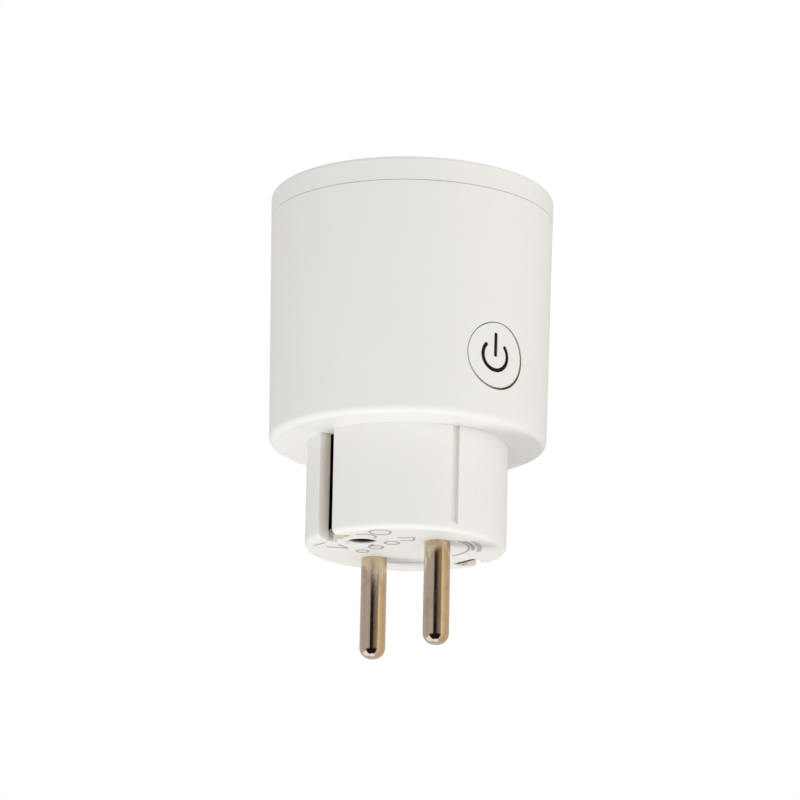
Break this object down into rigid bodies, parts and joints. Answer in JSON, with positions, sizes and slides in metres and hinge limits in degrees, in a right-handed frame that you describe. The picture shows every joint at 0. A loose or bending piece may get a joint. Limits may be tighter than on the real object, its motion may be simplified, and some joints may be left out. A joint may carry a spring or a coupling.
{
  "type": "smart plug",
  "caption": "Round smart plug: pinned earthed plug below, recessed outlet with shutter above, flush power button, radio-controlled relay inside.",
  "frame": {"origin": "centre of the plug's face, midway between its two pins", "axes": "+Z from the plug towards the outlet, +X towards the power button and along the line of the pins, +Y across, with the hole for an outlet's earth pin on the -Y side"},
  "size_m": [0.0534, 0.0534, 0.0868],
  "materials": {
    "shell": "warm white moulded plastic, fine satin texture",
    "nickel": "nickel-plated brass, polished",
    "tinned_brass": "tinned brass sheet, plain",
    "brown_wire": "insulated wire, satin",
    "blue_wire": "insulated wire, satin",
    "shutter_plastic": "slippery moulded plastic, light gloss",
    "spring_steel": "drawn spring wire",
    "inner_plastic": "glass-filled plastic, matte",
    "steel": "zinc-plated steel",
    "circuit_board": "green lacquer over glass fibre",
    "smoked_plastic": "smoked light-guide plastic",
    "black_plastic": "black moulding compound",
    "lamp_resin": "lamp resin",
    "relay_plastic": "relay cover, satin",
    "soft_iron": "soft iron, dull plated",
    "coil_copper": "enamelled copper winding",
    "radio_board_lacquer": "dark lacquer over glass fibre",
    "capacitor_sleeve": "shrink sleeve on an aluminium can",
    "film_yellow": "moulded box, satin",
    "ferrite": "ferrite with shrink sleeve",
    "varistor_blue": "dipped epoxy",
    "fuse_green": "lacquered body",
    "resistance_metal": "plain resistance alloy"
  },
  "bodies": {
    "plug": {"housing": "shell", "socket_cover": "shell", "line_pin": "nickel", "neutral_pin": "nickel", "line_pin_tab": "tinned_brass", "neutral_pin_tab": "tinned_brass", "line_wire": "brown_wire", "neutral_wire": "blue_wire", "earth_frame": "nickel", "earth_sleeve": "nickel", "shutter_spring": "spring_steel", "contact_carrier": "inner_plastic", "carrier_screws": "steel", "line_contact": "tinned_brass", "neutral_contact": "tinned_brass", "main_board": "circuit_board", "board_screws": "steel", "switch_body": "black_plastic", "status_leds": "lamp_resin", "relay_case": "relay_plastic", "relay_base": "black_plastic", "relay_yoke": "soft_iron", "relay_coil": "coil_copper", "relay_contact": "tinned_brass", "radio_board": "radio_board_lacquer", "radio_can": "steel", "bulk_capacitor": "capacitor_sleeve", "small_capacitor": "capacitor_sleeve", "film_capacitor": "film_yellow", "choke": "ferrite", "varistor": "varistor_blue", "fuse_resistor": "fuse_green", "board_chips": "black_plastic", "shunt": "resistance_metal"},
    "shutter": {"shutter": "shutter_plastic"},
    "button": {"power_button": "shell", "light_guide": "smoked_plastic"},
    "switch_plunger": {"switch_plunger": "black_plastic"},
    "front_clip": {"front_earth_clip": "nickel"},
    "rear_clip": {"rear_earth_clip": "nickel"},
    "armature": {"relay_armature": "soft_iron"}
  },
  "joints": [
    {"name": "button_press", "type": "slide", "parent": "plug", "child": "button", "axis": [-1, 0, 0], "range_m": [0, 0.00045], "stiffness_N_per_m": 600},
    {"name": "switch_plunger_travel", "type": "slide", "parent": "plug", "child": "switch_plunger", "axis": [-1, 0, 0], "range_m": [0, 0.00045]},
    {"name": "shutter_turn", "type": "hinge", "parent": "plug", "child": "shutter", "pos_m": [0, 0, 0.0465], "axis": [0, 0, 1], "range_deg": [0, 39], "stiffness_Nm_per_rad": 0.0015, "springref_deg": -20.05, "deforming": ["shutter_spring"]},
    {"name": "front_clip_flex", "type": "hinge", "parent": "plug", "child": "front_clip", "pos_m": [0, -0.021, 0.06283], "axis": [-1, 0, 0], "range_deg": [0, 6], "stiffness_Nm_per_rad": 0.15},
    {"name": "rear_clip_flex", "type": "hinge", "parent": "plug", "child": "rear_clip", "pos_m": [0, 0.021, 0.06283], "axis": [1, 0, 0], "range_deg": [0, 6], "stiffness_Nm_per_rad": 0.15},
    {"name": "relay_armature_pull", "type": "hinge", "parent": "plug", "child": "armature", "pos_m": [0.0076, 0.01145, 0.03925], "axis": [0, -1, 0], "range_deg": [0, 3.5], "stiffness_Nm_per_rad": 0.02, "springref_deg": -8.59}
  ],
  "couplings": [
    {"joint": "switch_plunger_travel", "follows": "button_press", "ratio": 1}
  ]
}
